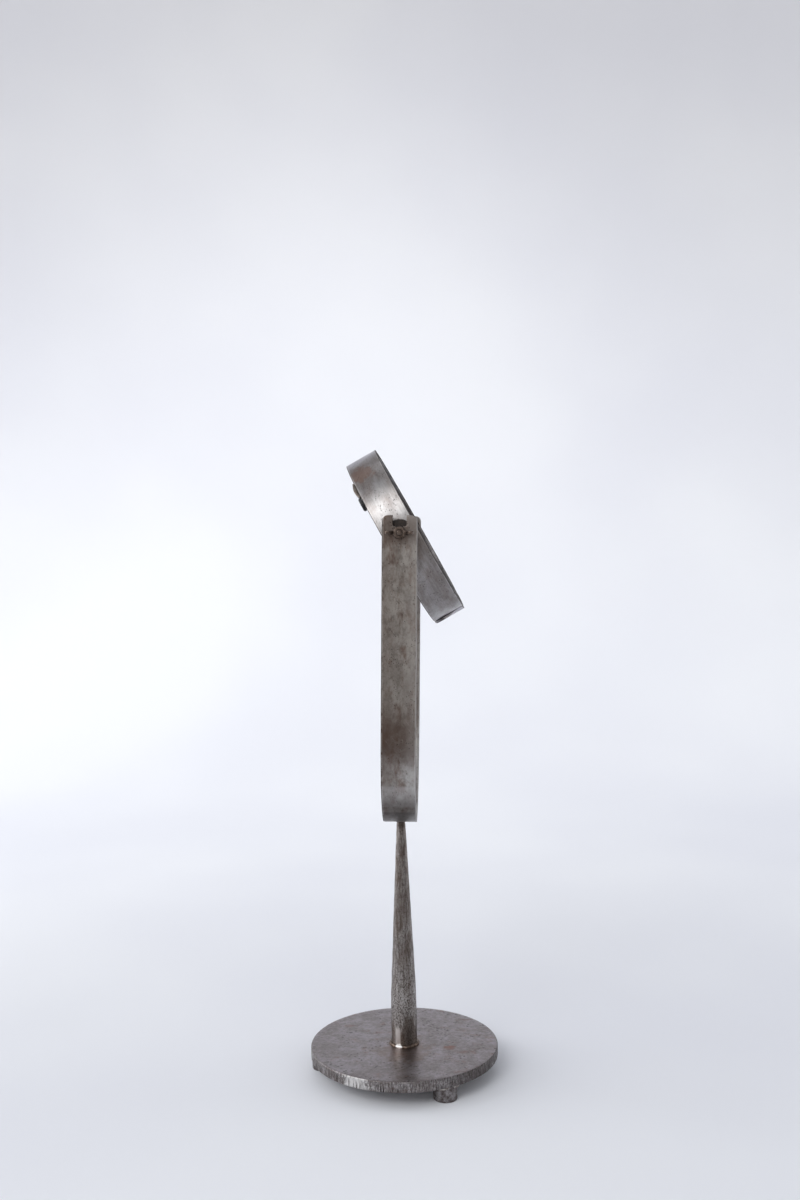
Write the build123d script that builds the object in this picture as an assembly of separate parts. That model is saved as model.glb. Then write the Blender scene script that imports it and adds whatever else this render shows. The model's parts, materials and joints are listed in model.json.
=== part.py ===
from build123d import *
import os
from math import cos, degrees, radians, sin

# Welded steel desk sculpture: a round plate on three feet carries a forged, tapered post.
# On the post stands a U-shaped yoke of flat bar, and between its arms a flat-bar hoop tilts
# on two bolts that sit in open-topped slots and are clamped by wing nuts.
# Millimetres and degrees. The origin is on the surface that the feet stand on, at the middle
# of the plate. +Z is up, and the hoop's pivot axis lies along Y. The front is -Y.

os.makedirs("parts", exist_ok=True)

# ---------------------------------------------------------------- driving dimensions
# base
plate_d = 144.0            # round base plate
plate_t = 8.0
plate_edge = 0.5           # broken edge of the plate
foot_d = 18.0              # round-bar feet
foot_h = 11.5
foot_inset = 0.4           # from the plate's edge to the outside of a foot
foot_angles = {"front": -60.0, "left": 180.0, "back": 60.0}
foot_weld = 2.2            # leg of the weld bead round a foot

# post
post_h = 174.2             # from the plate's top to the underside of the yoke
post_d = 20.0              # parallel lower part
post_parallel_h = 33.0     # where the taper starts
post_top_d = 7.0
post_edge_blend = 260.0    # radius that softens the start of the taper
neck_d = 6.0               # short neck under the yoke, with the top weld round it
neck_h = 3.0
post_foot_weld = 3.0       # leg of the weld bead at the foot of the post
top_weld_d = 8.8           # widest part of the top weld, against the yoke

# hoop
hoop_od = 134.0            # outside of a single thickness of the strap
hoop_w = 25.0              # width of the strap
hoop_t = 2.5
hoop_tilt = 30.0           # rest tilt from the plane of the yoke's arms
hoop_hang = 3.5            # the pivot axis is this far above the hoop's centre
lap_front = 5.0            # the outer end of the strap, ahead of the lowest point
lap_back = 25.0            # the inner end of the strap, behind the lowest point
joggle_arc = 17.0          # arc over which the strap steps out to lap over itself
lap_skew = 2.0             # the outer end lies this far to the rear of the inner one
lap_corner = 5.0           # rounded corners of the outer end
lap_weld_leg = 1.8

# yoke
yoke_w = 25.0              # width of the flat bar
yoke_t = 3.0
yoke_lean = 1.25           # the yoke is welded on slightly out of plumb, top to +X
pivot_h = 219.4            # pivot axis above the underside of the yoke
ear_rise = 12.1            # top of the ears above the pivot axis
ear_corner = 4.5
notch_w = 9.7              # wide mouth between the ears
notch_floor = 4.4          # floor of the wide mouth above the pivot axis
notch_corner = 1.0

# pivot hardware
bolt_d = 4.0
bolt_head_d = 8.0
bolt_head_h = 2.6
bolt_end = 1.6             # bolt past the wing nut's hub
head_weld_leg = 1.2
disc_d = 19.0              # friction disc between hoop and arm
disc_t = 3.5
nut_hub_d = 9.0            # wing nut
nut_hub_top_d = 7.4
nut_hub_h = 4.8
nut_span = 20.0
nut_h = 10.0
wing_t = 1.8
wing_low = 0.8             # underside of a wing, above the foot of the hub
wing_high = 4.3            # top of a wing, where it joins the hub
wing_foot_l = 1.5          # flat part of a wing's underside, outside the hub
wing_tip_h = 6.4           # height of a wing's outer edge
wing_top_w = 3.2           # width of a wing's top edge
wing_round = 1.5

# magnet on the rear rim of the hoop
lug_angle = 41.5           # start of the lug, from the top of the hoop towards the front
lug_l = 15.3               # along the rim
lug_w = 4.6                # across the rim
lug_proud = 2.5
lug_round = 1.1
lug_weld_d = 3.4
magnet_d = 10.0
magnet_t = 2.0
magnet_round = 0.5
magnet_kick = 1.5          # the magnet sits this far off flat, open at its lower end

# clearances
face_gap = 0.05            # each side of a friction disc
slot_gap = 0.3             # bolt in the slot of the yoke, each side
hole_gap = 0.1             # bolt in the hole of the hoop, each side
run_gap = 0.05             # bolt in a friction disc or a wing nut, each side
seat_gap = 0.05            # between the magnet and what it rests on
reach = 400.0              # a cut this long goes right through
past = 1.0                 # other cuts and blanks run this far past a face

# ---------------------------------------------------------------- worked out
plate_top = foot_h + plate_t
foot_ring_r = plate_d / 2 - foot_inset - foot_d / 2
hoop_r_out = hoop_od / 2
hoop_r_in = hoop_r_out - hoop_t
hoop_r_mid = hoop_r_out - hoop_t / 2
side_gap = disc_t + 2 * face_gap
yoke_r_in = hoop_r_out + side_gap
yoke_r_out = yoke_r_in + yoke_t
bolt_seat_r = (hoop_r_in**2 - (bolt_head_d / 2 + hoop_hang) ** 2) ** 0.5
bolt_tip_r = yoke_r_out + nut_hub_h + bolt_end

yoke_frame = Pos(0, 0, plate_top + post_h) * Rot(0, yoke_lean, 0)
pivot_frame = yoke_frame * Pos(0, 0, pivot_h)
hoop_frame = pivot_frame * Rot(0, -hoop_tilt, 0)
ring_centre = Pos(0, 0, -hoop_hang)


# ---------------------------------------------------------------- helpers
def save(shape, node):
    shape.label = node
    export_step(shape, f"parts/{node}.step")


def bead(radius, leg, rise):
    """Weld bead of triangular section round a bar that stands on +Z, its heel at z = 0."""
    profile = Polyline((radius, 0), (radius + leg, 0), (radius, rise), close=True)
    return revolve(Plane.XZ * make_face(profile), Axis.Z)


def rod(diameter, start, end):
    """Round bar along -Y, from one distance off the middle to another."""
    return Plane.XZ.offset(start) * extrude(Circle(diameter / 2), end - start)


def on_side(shape, side):
    """A piece made for the front, or the same piece turned round to the back."""
    return shape if side == "front" else Rot(0, 0, 180) * shape


# ---------------------------------------------------------------- base
def base_plate():
    disc = Pos(0, 0, foot_h) * extrude(Circle(plate_d / 2), plate_t)
    return chamfer(disc.edges().filter_by(GeomType.CIRCLE), plate_edge)


def foot_place(name):
    return Rot(0, 0, foot_angles[name]) * Pos(foot_ring_r, 0, 0)


def foot(name):
    return foot_place(name) * extrude(Circle(foot_d / 2), foot_h)


def foot_bead(name):
    ring = bead(foot_d / 2, foot_weld, foot_weld)
    ring = foot_place(name) * Pos(0, 0, foot_h) * Rot(180, 0, 0) * ring
    under_plate = extrude(Circle(plate_d / 2 - plate_edge), foot_h)
    return ring & under_plate


# ---------------------------------------------------------------- post
def post(yoke):
    r, r_top, r_neck = post_d / 2, post_top_d / 2, neck_d / 2
    shoulder = post_h - neck_h
    side = FilletPolyline((r, 0), (r, post_parallel_h), (r_top, shoulder), radius=post_edge_blend)
    rest = Polyline((r_top, shoulder), (r_neck, shoulder + r_top - r_neck), (r_neck, post_h + past),
                    (0, post_h + past), (0, 0), (r, 0))
    blank = revolve(Plane.XZ * make_face(side.edges() + rest.edges()), Axis.Z)
    return Pos(0, 0, plate_top) * blank - yoke


def post_foot_bead():
    return Pos(0, 0, plate_top) * bead(post_d / 2, post_foot_weld, post_foot_weld)


def post_top_bead(yoke):
    """Flared bead in the corner between the neck and the underside of the yoke."""
    r_neck, low = neck_d / 2, post_h - neck_h + (post_top_d - neck_d) / 2
    profile = Polyline((r_neck, low), (top_weld_d / 2, post_h - neck_h / 3),
                       (top_weld_d / 2, post_h + past), (r_neck, post_h + past), close=True)
    ring = revolve(Plane.XZ * make_face(profile), Axis.Z)
    return Pos(0, 0, plate_top) * ring - yoke


# ---------------------------------------------------------------- yoke
def yoke_slot():
    """Open-topped slot for a bolt, with a wide mouth: a cut along Y, placed on the pivot."""
    slot_w = bolt_d + 2 * slot_gap
    above = ear_rise + past
    mouth = Pos(0, (notch_floor + above) / 2) * Rectangle(notch_w, above - notch_floor)
    floor_corners = mouth.vertices().group_by(Axis.Y)[0]
    mouth = fillet(floor_corners, notch_corner)
    stem = Pos(0, above / 2) * Rectangle(slot_w, above)
    outline = Circle(slot_w / 2) + stem + mouth
    return extrude(Plane.XZ * outline, reach / 2, both=True)


def yoke_strap():
    top = pivot_h + ear_rise
    arm = top - yoke_r_out
    outer = Circle(yoke_r_out) + Pos(0, arm / 2) * Rectangle(2 * yoke_r_out, arm)
    inner = Circle(yoke_r_in) + Pos(0, arm / 2) * Rectangle(2 * yoke_r_in, arm)
    section = Pos(0, yoke_r_out) * (outer - inner)
    strap = extrude(Plane.YZ * section, yoke_w / 2, both=True)
    corners = strap.edges().filter_by(Axis.Y).filter_by_position(Axis.Z, top - 0.1, top + 0.1)
    strap = fillet(corners, ear_corner)
    return yoke_frame * (strap - Pos(0, 0, pivot_h) * yoke_slot())


# ---------------------------------------------------------------- hoop
def arc_sector(r_in, r_out, start, end):
    """Part of a ring in the YZ plane. Angles run from the lowest point towards the back."""
    inner = CenterArc((0, 0), r_in, start - 90, end - start)
    outer = CenterArc((0, 0), r_out, start - 90, end - start)
    ends = [Line(inner @ k, outer @ k) for k in (0, 1)]
    return make_face(inner.edges() + outer.edges() + ends[0].edges() + ends[1].edges())


def strap_end(angle, r_in, shift):
    """Rectangular end section of the strap, on a plane through the hoop's axis."""
    spoke = Plane(origin=(0, 0, 0), x_dir=(1, 0, 0), z_dir=(0, 1, 0))
    section = spoke * Pos(shift, r_in + hoop_t / 2) * Rectangle(hoop_w, hoop_t)
    return Rot(angle, 0, 0) * section


def hoop_band():
    """Strap bent to a ring, its outer end stepped out and lapped over the inner end."""
    step_in = lap_back + joggle_arc
    ring = arc_sector(hoop_r_in, hoop_r_out, step_in, 360 + lap_back)
    ring = extrude(Plane.YZ * ring, hoop_w / 2, both=True)
    joggle = loft([strap_end(lap_back, hoop_r_out, -lap_skew), strap_end(step_in, hoop_r_in, 0)])
    tail = arc_sector(hoop_r_out, hoop_r_out + hoop_t, -lap_front, lap_back)
    tail = Pos(-lap_skew, 0, 0) * extrude(Plane.YZ * tail, hoop_w / 2, both=True)
    across = tail.edges().filter_by(lambda edge: abs(edge.length - hoop_t) < 0.01)
    tail = fillet(across.sort_by(Axis.Y)[:2], lap_corner)
    strap = ring_centre * (ring + joggle + tail)
    hole = rod(bolt_d + 2 * hole_gap, 0, hoop_r_out + past)
    return strap - hole - on_side(hole, "back")


def lap_bead(band):
    """Bead inside the hoop, in the corner between the inner end and the lapped strap."""
    heel, leg = hoop_r_out, lap_weld_leg
    along = degrees(leg / heel)
    corners = [(heel, lap_back), (heel - leg, lap_back), (heel, lap_back + along)]
    points = [(r * sin(radians(a)), -r * cos(radians(a))) for r, a in corners]
    prism = make_face(Polyline(*points, close=True))
    prism = extrude(Plane.YZ * prism, hoop_w / 2 - lap_skew, both=True)
    return ring_centre * prism - band


# ---------------------------------------------------------------- pivot hardware
def pivot_bolt():
    shank = rod(bolt_d, bolt_seat_r, bolt_tip_r)
    head = rod(bolt_head_d, bolt_seat_r - bolt_head_h, bolt_seat_r)
    head = fillet(head.edges().filter_by(GeomType.CIRCLE).sort_by(Axis.Y)[-1], bolt_head_h / 3)
    shank = chamfer(shank.edges().filter_by(GeomType.CIRCLE).sort_by(Axis.Y)[0], bolt_d / 8)
    return head + shank


def bolt_head_bead():
    """Bead that ties the head of a bolt to the inside of the hoop."""
    r, leg = bolt_head_d / 2, head_weld_leg
    profile = Polyline((r, -past), (r + leg, -past), (r + leg, 0), (r, leg), close=True)
    ring = revolve(Plane.XZ * make_face(profile), Axis.Z)
    ring = Pos(0, -bolt_seat_r, 0) * Rot(-90, 0, 0) * ring
    hollow = ring_centre * extrude(Plane.YZ * Circle(hoop_r_in), hoop_w / 2, both=True)
    return ring & hollow


def friction_disc():
    inner_face = hoop_r_out + face_gap
    disc = rod(disc_d, inner_face, inner_face + disc_t)
    return disc - rod(bolt_d + 2 * run_gap, 0, reach / 2)


def wing_nut():
    hub_r, tip = nut_hub_top_d / 2, nut_span / 2
    bore_r = bolt_d / 2 + run_gap
    root = (bore_r + hub_r) / 2
    outline = Polyline((root, wing_low), (hub_r + wing_foot_l, wing_low), (tip, nut_h - wing_tip_h),
                       (tip, nut_h), (tip - wing_top_w, nut_h), (hub_r, wing_high),
                       (root, wing_high), close=True)
    wing = make_face(outline)
    tip_corners = wing.vertices().filter_by(lambda v: v.X > tip - wing_top_w - past)
    wing = extrude(Plane.XZ * fillet(tip_corners, wing_round), wing_t / 2, both=True)
    hub = Cone(nut_hub_d / 2, hub_r, nut_hub_h, align=(Align.CENTER, Align.CENTER, Align.MIN))
    nut = hub + wing + Rot(0, 0, 180) * wing - Cylinder(bore_r, 4 * nut_h)
    return Pos(0, -yoke_r_out, 0) * Rot(90, 0, 0) * nut


# ---------------------------------------------------------------- magnet
def magnet_lug():
    arc = degrees(lug_l / hoop_r_mid)
    start = 180 + lug_angle
    section = arc_sector(hoop_r_mid - lug_w / 2, hoop_r_mid + lug_w / 2, start, start + arc)
    block = extrude(Plane.YZ * section, -lug_proud)
    outer_face = block.faces().sort_by(Axis.X)[0]
    block = fillet(outer_face.edges(), lug_round)
    return ring_centre * Pos(-hoop_w / 2, 0, 0) * block


def lug_bead(band, lug):
    """Blob of weld on the rim, at the upper end of the lug."""
    lift = Pos(-hoop_w / 2, 0, -hoop_r_mid)
    blob = Rot(180 + lug_angle, 0, 0) * lift * Sphere(lug_weld_d / 2)
    return ring_centre * blob - band - lug


def rim_magnet():
    """Disc magnet that hangs on the rim, its upper edge beside the lug."""
    lug_clear = seat_gap + magnet_t * sin(radians(magnet_kick))
    along = lug_l + lug_clear + magnet_d / 2
    disc = extrude(Plane.YZ * Circle(magnet_d / 2), -magnet_t)
    disc = fillet(disc.edges().filter_by(GeomType.CIRCLE), magnet_round)
    upper_edge = Pos(-hoop_w / 2 - seat_gap, -magnet_d / 2, -hoop_r_mid)
    disc = upper_edge * Rot(0, 0, magnet_kick) * Pos(0, magnet_d / 2, 0) * disc
    return ring_centre * Rot(180 + lug_angle + degrees(along / hoop_r_mid), 0, 0) * disc


# ---------------------------------------------------------------- assembly
def make_base():
    save(base_plate(), "base_plate")
    for name in foot_angles:
        save(foot(name), f"{name}_foot")
        save(foot_bead(name), f"{name}_foot_weld")


def make_stem():
    yoke = yoke_strap()
    save(yoke, "yoke_strap")
    save(post(yoke), "post")
    save(post_foot_bead(), "post_foot_weld")
    save(post_top_bead(yoke), "post_top_weld")


def make_hoop():
    band, lug = hoop_band(), magnet_lug()
    save(hoop_frame * band, "hoop_band")
    save(hoop_frame * lap_bead(band), "lap_weld")
    save(hoop_frame * lug, "magnet_lug")
    save(hoop_frame * lug_bead(band, lug), "lug_weld")
    save(hoop_frame * rim_magnet(), "rim_magnet")


def make_pivots():
    for side in ("front", "back"):
        bolt, head_weld = on_side(pivot_bolt(), side), bolt_head_bead()
        if side == "back":
            head_weld = mirror(head_weld, Plane.XZ)
        save(hoop_frame * bolt, f"{side}_pivot_bolt")
        save(hoop_frame * head_weld, f"{side}_bolt_weld")
        save(pivot_frame * on_side(friction_disc(), side), f"{side}_friction_disc")
        save(pivot_frame * on_side(wing_nut(), side), f"{side}_wing_nut")


make_base()
make_stem()
make_hoop()
make_pivots()
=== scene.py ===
import json
from math import cos, floor, hypot, pi, radians, sin, sqrt, tan

import bmesh
import bpy
from mathutils import Matrix, Vector, noise


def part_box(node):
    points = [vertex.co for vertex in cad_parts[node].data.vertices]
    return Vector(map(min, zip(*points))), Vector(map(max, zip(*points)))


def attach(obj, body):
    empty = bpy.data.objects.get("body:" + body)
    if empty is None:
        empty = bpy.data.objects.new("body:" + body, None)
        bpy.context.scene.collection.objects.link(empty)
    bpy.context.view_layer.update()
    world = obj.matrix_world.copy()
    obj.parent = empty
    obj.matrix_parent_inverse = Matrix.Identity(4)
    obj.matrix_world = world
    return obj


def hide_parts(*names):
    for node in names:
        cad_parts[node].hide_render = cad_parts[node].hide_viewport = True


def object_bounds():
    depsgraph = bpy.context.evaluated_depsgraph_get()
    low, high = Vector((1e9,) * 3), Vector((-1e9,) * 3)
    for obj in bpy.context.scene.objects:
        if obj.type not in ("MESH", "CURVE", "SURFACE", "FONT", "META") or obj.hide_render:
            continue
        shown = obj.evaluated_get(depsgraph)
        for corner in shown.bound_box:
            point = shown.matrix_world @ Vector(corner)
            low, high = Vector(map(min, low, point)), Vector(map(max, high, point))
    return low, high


# Looks of a welded steel desk sculpture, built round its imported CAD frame. Metres throughout.
# Every solid is remade as a detailed mesh: flame-cut plate, hammered post, bent flat bars,
# weld beads, cast wing nuts and threaded bolts.

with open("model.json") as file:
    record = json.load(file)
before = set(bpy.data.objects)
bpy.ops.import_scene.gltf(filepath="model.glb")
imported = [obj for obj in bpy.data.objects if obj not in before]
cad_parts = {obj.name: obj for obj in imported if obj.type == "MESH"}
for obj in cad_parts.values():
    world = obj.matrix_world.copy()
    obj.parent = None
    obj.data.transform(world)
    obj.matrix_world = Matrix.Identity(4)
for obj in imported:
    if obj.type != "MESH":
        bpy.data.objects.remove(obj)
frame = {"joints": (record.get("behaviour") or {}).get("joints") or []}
cad_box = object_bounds()

MM = 0.001
JOINTS = {joint["name"]: joint for joint in frame["joints"]}

# -------- sizes that the boxes don't give
PLATE_EDGE = 0.5 * MM           # broken edge of the plate
FOOT_EDGE = 0.6 * MM
RIM_BEAD_ROOM = 2.2 * MM        # the foot beads stay this far in from the plate's rim
POST_L = 174.2 * MM             # from the plate to the yoke
POST_PARALLEL_H = 33 * MM       # where the post's taper starts
POST_TOP_R = 3.5 * MM
NECK_R = 3 * MM
NECK_H = 3 * MM
BAR_W = 25 * MM                 # flat bar of the yoke and of the hoop
YOKE_T, YOKE_EDGE = 3 * MM, 0.45 * MM     # thickness, and the radius along the bar's edges
YOKE_R_OUT = 73.6 * MM
PIVOT_H = 219.4 * MM            # pivot axis above the underside of the yoke
EAR_RISE = 12.1 * MM
EAR_CORNER = 4.5 * MM
MOUTH_W = 9.7 * MM              # wide mouth of the slot, between the ears
MOUTH_FLOOR = 4.4 * MM          # above the pivot axis
MOUTH_CORNER = 1 * MM
SLOT_W = 4.6 * MM
HOOP_T, HOOP_EDGE = 2.5 * MM, 0.4 * MM
HOOP_R_OUT = 67 * MM
HOOP_HANG = 3.5 * MM            # pivot axis above the hoop's centre
LAP_FRONT, LAP_BACK = radians(5), radians(25)
JOGGLE_ARC = radians(17)
LAP_SKEW = 0.4 * MM             # the CAD model has 2 mm
SNIP_L, SNIP_W = 15 * MM, 7 * MM    # the rear corner of the lapped end is snipped off
LAP_GAP = 0.35 * MM             # daylight under the rear half of the lapped end
BOLT_R = 2 * MM
BOLT_PITCH = 0.7 * MM
THREAD_DEPTH = 0.36 * MM
DRIVER_SLOT_HALF, DRIVER_SLOT_DEPTH = 0.55 * MM, 0.9 * MM
HEAD_R, HEAD_H = 4 * MM, 2.6 * MM
DISC_T = 3.5 * MM
FACE_GAP = 0.05 * MM
HUB_H = 4.8 * MM
HUB_LOW_R, HUB_TOP_R = 4.6 * MM, 4.1 * MM
WING_T, WING_EDGE = 2.7 * MM, 0.8 * MM
WING_TOP_W, WING_DROP = 3.2 * MM, 6.4 * MM    # width of the top, and depth of the outer end
NUT_VOXEL = 0.17 * MM
BOLT_END = 1.6 * MM
LUG_ANGLE = radians(41.5)
LUG_L, LUG_W, LUG_PROUD = 15.3 * MM, 4.6 * MM, 2.5 * MM
MAGNET_R, MAGNET_T = 5 * MM, 2 * MM
MAGNET_KICK = radians(1.5)
SEAT_GAP = 0.05 * MM
BORE_GAP = 0.12 * MM            # round each bolt, in the hoop
EDGE_BAND = 1.2 * MM            # how far in from its edges a flat bar is worn
BAR_ROWS = [k * 2.5 * MM for k in range(-4, 5)]     # rows of points across a flat bar

# Weld beads: radius, and the pitch of their ripples.
FOOT_BEAD = (1.5 * MM, 1.9 * MM)
POST_BEAD = (1.7 * MM, 3.1 * MM)
NECK_BEAD = (1.35 * MM, 2.2 * MM)
LAP_BEAD = (1.25 * MM, 2.0 * MM)
BOLT_BEAD = (0.75 * MM, 1.3 * MM)
LUG_BEAD = (1.05 * MM, 1.1 * MM)

HOOP_R_MID = HOOP_R_OUT - HOOP_T / 2
HOOP_R_IN = HOOP_R_OUT - HOOP_T
BOLT_SEAT_R = sqrt(HOOP_R_IN**2 - (HEAD_R + HOOP_HANG) ** 2)

# -------- frames of the tilted parts
pivot = Vector(JOINTS["hoop_tilt"]["pos_m"])
yoke_up = Vector(JOINTS["hoop_lift"]["axis"]).normalized()
hoop_side = -Vector(JOINTS["magnet_pull"]["axis"]).normalized()
back = Vector((0, 1, 0))


def axes(x, y, z, origin):
    matrix = Matrix((x, y, z)).transposed().to_4x4()
    matrix.translation = origin
    return matrix


PIVOT = axes(back.cross(yoke_up), back, yoke_up, pivot)
YOKE = PIVOT @ Matrix.Translation((0, 0, -PIVOT_H))
HOOP = axes(hoop_side, back, hoop_side.cross(back), pivot)
RING = HOOP @ Matrix.Translation((0, 0, -HOOP_HANG))


# -------- shape helpers
def lump(point, size, seed=0.0):
    """Smooth noise from -1 to 1 with lumps of that size; size is one number or one per axis."""
    sizes = size if hasattr(size, "__len__") else (size, size, size)
    place = Vector([c / s for c, s in zip(point, sizes)]) + Vector((seed, seed * 1.7, -seed))
    return max(-1.0, min(1.0, noise.noise(place) * 1.6))


def rounded(points, radii, steps=6):
    """A closed outline with an arc at each corner that has a radius."""
    out = []
    count = len(points)
    for i, radius in enumerate(radii):
        corner = Vector(points[i])
        if radius == 0:
            out.append(corner)
            continue
        before = (Vector(points[i - 1]) - corner).normalized()
        after = (Vector(points[(i + 1) % count]) - corner).normalized()
        half = before.angle(after) / 2
        centre = corner + (before + after).normalized() * radius / sin(half)
        start = corner + before * radius / tan(half) - centre
        end = corner + after * radius / tan(half) - centre
        turn = start.angle(end)
        for k in range(steps + 1):
            share = k / steps
            spoke = start * sin((1 - share) * turn) + end * sin(share * turn)
            out.append(centre + spoke / sin(turn))
    return out


def finely(points, step, closed=True):
    """The same outline with long runs cut into pieces no longer than step."""
    out = []
    count = len(points)
    for i in range(count if closed else count - 1):
        a, b = Vector(points[i]), Vector(points[(i + 1) % count])
        pieces = max(1, int((b - a).length / step))
        out += [a.lerp(b, k / pieces) for k in range(pieces)]
    if not closed:
        out.append(Vector(points[-1]))
    return out


def linked(name, data):
    """A new object in the scene."""
    thing = bpy.data.objects.new(name, data)
    bpy.context.scene.collection.objects.link(thing)
    return thing


def new_piece(name, mesh, body, slot, replaced, material, *more):
    """Puts a finished mesh in the scene as a piece that stands for one CAD node."""
    mesh.polygons.foreach_set("use_smooth", [True] * len(mesh.polygons))
    mesh.set_sharp_from_angle(angle=radians(42))
    for each in (material, *more):
        mesh.materials.append(each)
    piece = linked(name, mesh)
    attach(piece, body)
    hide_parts(replaced)


def facing_out(mesh):
    shape = bmesh.new()
    shape.from_mesh(mesh)
    bmesh.ops.recalc_face_normals(shape, faces=shape.faces)
    shape.to_mesh(mesh)
    shape.free()
    return mesh


def mesh_from(name, verts, faces, matrix=None):
    mesh = bpy.data.meshes.new(name)
    mesh.from_pydata([tuple(v) for v in verts], [], faces)
    if matrix is not None:
        mesh.transform(matrix)
    return facing_out(mesh)


def round_z(angle, r, z):
    """The point at that angle, radius and height."""
    return Vector((cos(angle) * r, sin(angle) * r, z))


def lathe(name, profile, segments, dent=None, matrix=None, ring=False):
    """Turned solid about Z. The profile runs from the bottom middle to the top middle, or
    round a closed section where ring is set. dent moves a point: (angle, r, z) -> (r, z)."""
    verts, faces, rows = [], [], []
    for r, z in profile:
        if r == 0 and not ring:
            rows.append([len(verts)])
            verts.append((0, 0, z))
            continue
        row = []
        for k in range(segments):
            angle = 2 * pi * k / segments
            r_here, z_here = dent(angle, r, z) if dent else (r, z)
            row.append(len(verts))
            verts.append(round_z(angle, r_here, z_here))
        rows.append(row)
    pairs = list(zip(rows, rows[1:]))
    if ring:
        pairs.append((rows[-1], rows[0]))
    for low, high in pairs:
        for k in range(segments):
            n = (k + 1) % segments
            if len(low) == 1:
                faces.append((low[0], high[n], high[k]))
            elif len(high) == 1:
                faces.append((low[k], low[n], high[0]))
            else:
                faces.append((low[k], low[n], high[n], high[k]))
    return mesh_from(name, verts, faces, matrix)


def inset(outline, distance):
    """The outline moved inwards; it runs anticlockwise."""
    out = []
    count = len(outline)
    for i in range(count):
        before = (outline[i] - outline[i - 1]).normalized()
        after = (outline[(i + 1) % count] - outline[i]).normalized()
        left = Vector((-before.y, before.x)) + Vector((-after.y, after.x))
        left.normalize()
        lean = max(0.5, left.dot(Vector((-after.y, after.x))))
        out.append(outline[i] + left * distance / lean)
    return out


def flat_blank(outline, thickness, edge, stations, seats):
    """Flat plate with rounded edges, cut across at the stations (x) and along at the seats (y)."""
    shape = bmesh.new()
    loops = []
    edge_steps = 4
    for side in (-1, 1):
        for k in range(edge_steps):
            turn = (k if side > 0 else edge_steps - 1 - k) / (edge_steps - 1) * pi / 2
            depth = edge * (1 - cos(turn))
            height = side * (thickness / 2 - edge + edge * sin(turn))
            loops.append([shape.verts.new((*p, height)) for p in inset(outline, depth)])
    count = len(outline)
    for low, high in zip(loops, loops[1:]):
        for k in range(count):
            n = (k + 1) % count
            shape.faces.new((low[k], low[n], high[n], high[k]))
    shape.faces.new(reversed(loops[0]))
    shape.faces.new(loops[-1])
    cuts = [((x, 0, 0), (1, 0, 0)) for x in stations] + [((0, y, 0), (0, 1, 0)) for y in seats]
    for place, normal in cuts:
        everything = shape.verts[:] + shape.edges[:] + shape.faces[:]
        bmesh.ops.bisect_plane(shape, geom=everything, dist=1e-7, plane_co=place, plane_no=normal)
    return shape


def bend(name, shape, follow, matrix):
    """Bends a flat blank: follow(x, y, z) gives the new place. The flat place stays in "flat"."""
    mesh = bpy.data.meshes.new(name)
    shape.to_mesh(mesh)
    shape.free()
    flat = [tuple(v.co) for v in mesh.vertices]
    for vertex, place in zip(mesh.vertices, flat):
        vertex.co = follow(*place)
    mesh.transform(matrix)
    store = mesh.attributes.new("flat", "FLOAT_VECTOR", "POINT")
    store.data.foreach_set("vector", [c for place in flat for c in place])
    return facing_out(mesh)


def worn_edge(x, y, z, seed):
    """y across a flat bar, drawn in a little and unevenly along the bar's edges."""
    if abs(y) <= BAR_W / 2 - EDGE_BAND:
        return y
    depth = (0.05 + 0.05 * lump((x, y, z), (9 * MM, 3 * MM, 3 * MM), seed)) * MM
    return y - depth if y > 0 else y + depth


def weld_run(name, path, size, closed, around, seed, matrix):
    """Weld bead: a lumpy tube along a path of points, with a crescent ripple every pitch."""
    radius, pitch = size
    verts, faces = [], []
    count = len(path)
    along = 0.0
    for i, point in enumerate(path):
        ahead = path[(i + 1) % count] if closed else path[min(i + 1, count - 1)]
        behind = path[i - 1] if closed or i else path[0]
        forward = (Vector(ahead) - Vector(behind)).normalized()
        side = forward.orthogonal() if abs(forward.z) > 0.9 else forward.cross(Vector((0, 0, 1)))
        side.normalize()
        up = side.cross(forward)
        end = 1.0 if closed else min(1.0, 0.45 + 0.55 * min(i, count - 1 - i))
        for k in range(around):
            turn = 2 * pi * k / around
            ripple = along / pitch + 0.30 * cos(turn * 2)
            saw = ripple - floor(ripple)
            wave = 1 - 0.10 * saw**2 + 0.07 * lump((along, k * 0.0002, 0), 2.4 * MM, seed)
            spoke = side * cos(turn) + up * sin(turn)
            verts.append(Vector(point) + spoke * radius * wave * end)
        along += (Vector(ahead) - Vector(point)).length
    for i in range(count if closed else count - 1):
        low, high = i * around, ((i + 1) % count) * around
        for k in range(around):
            n = (k + 1) % around
            faces.append((low + k, low + n, high + n, high + k))
    if not closed:
        faces.append(tuple(range(around)))
        faces.append(tuple(reversed(range((count - 1) * around, count * around))))
    return mesh_from(name, verts, faces, matrix)


def bead(name, replaced, path, size, material, seed, body="stand", slot="weld_metal",
         closed=True, around=16, matrix=None):
    """A weld bead as a finished piece."""
    mesh = weld_run(replaced + "_mesh", path, size, closed, around, seed, matrix)
    new_piece(name, mesh, body, slot, replaced, material)


def circle(radius, count, height, wander, seed):
    """Points round a circle, with a slightly unsteady hand."""
    out = []
    for k in range(count):
        turn = 2 * pi * k / count
        spoke = Vector((cos(turn), sin(turn), 0))
        r = radius + wander * lump(spoke * radius, 3 * MM, seed)
        out.append(spoke * r + Vector((0, 0, height)))
    return out


def evaluated(piece):
    """The piece's mesh with its modifiers applied."""
    graph = bpy.context.evaluated_depsgraph_get()
    return bpy.data.meshes.new_from_object(piece.evaluated_get(graph))


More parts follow.
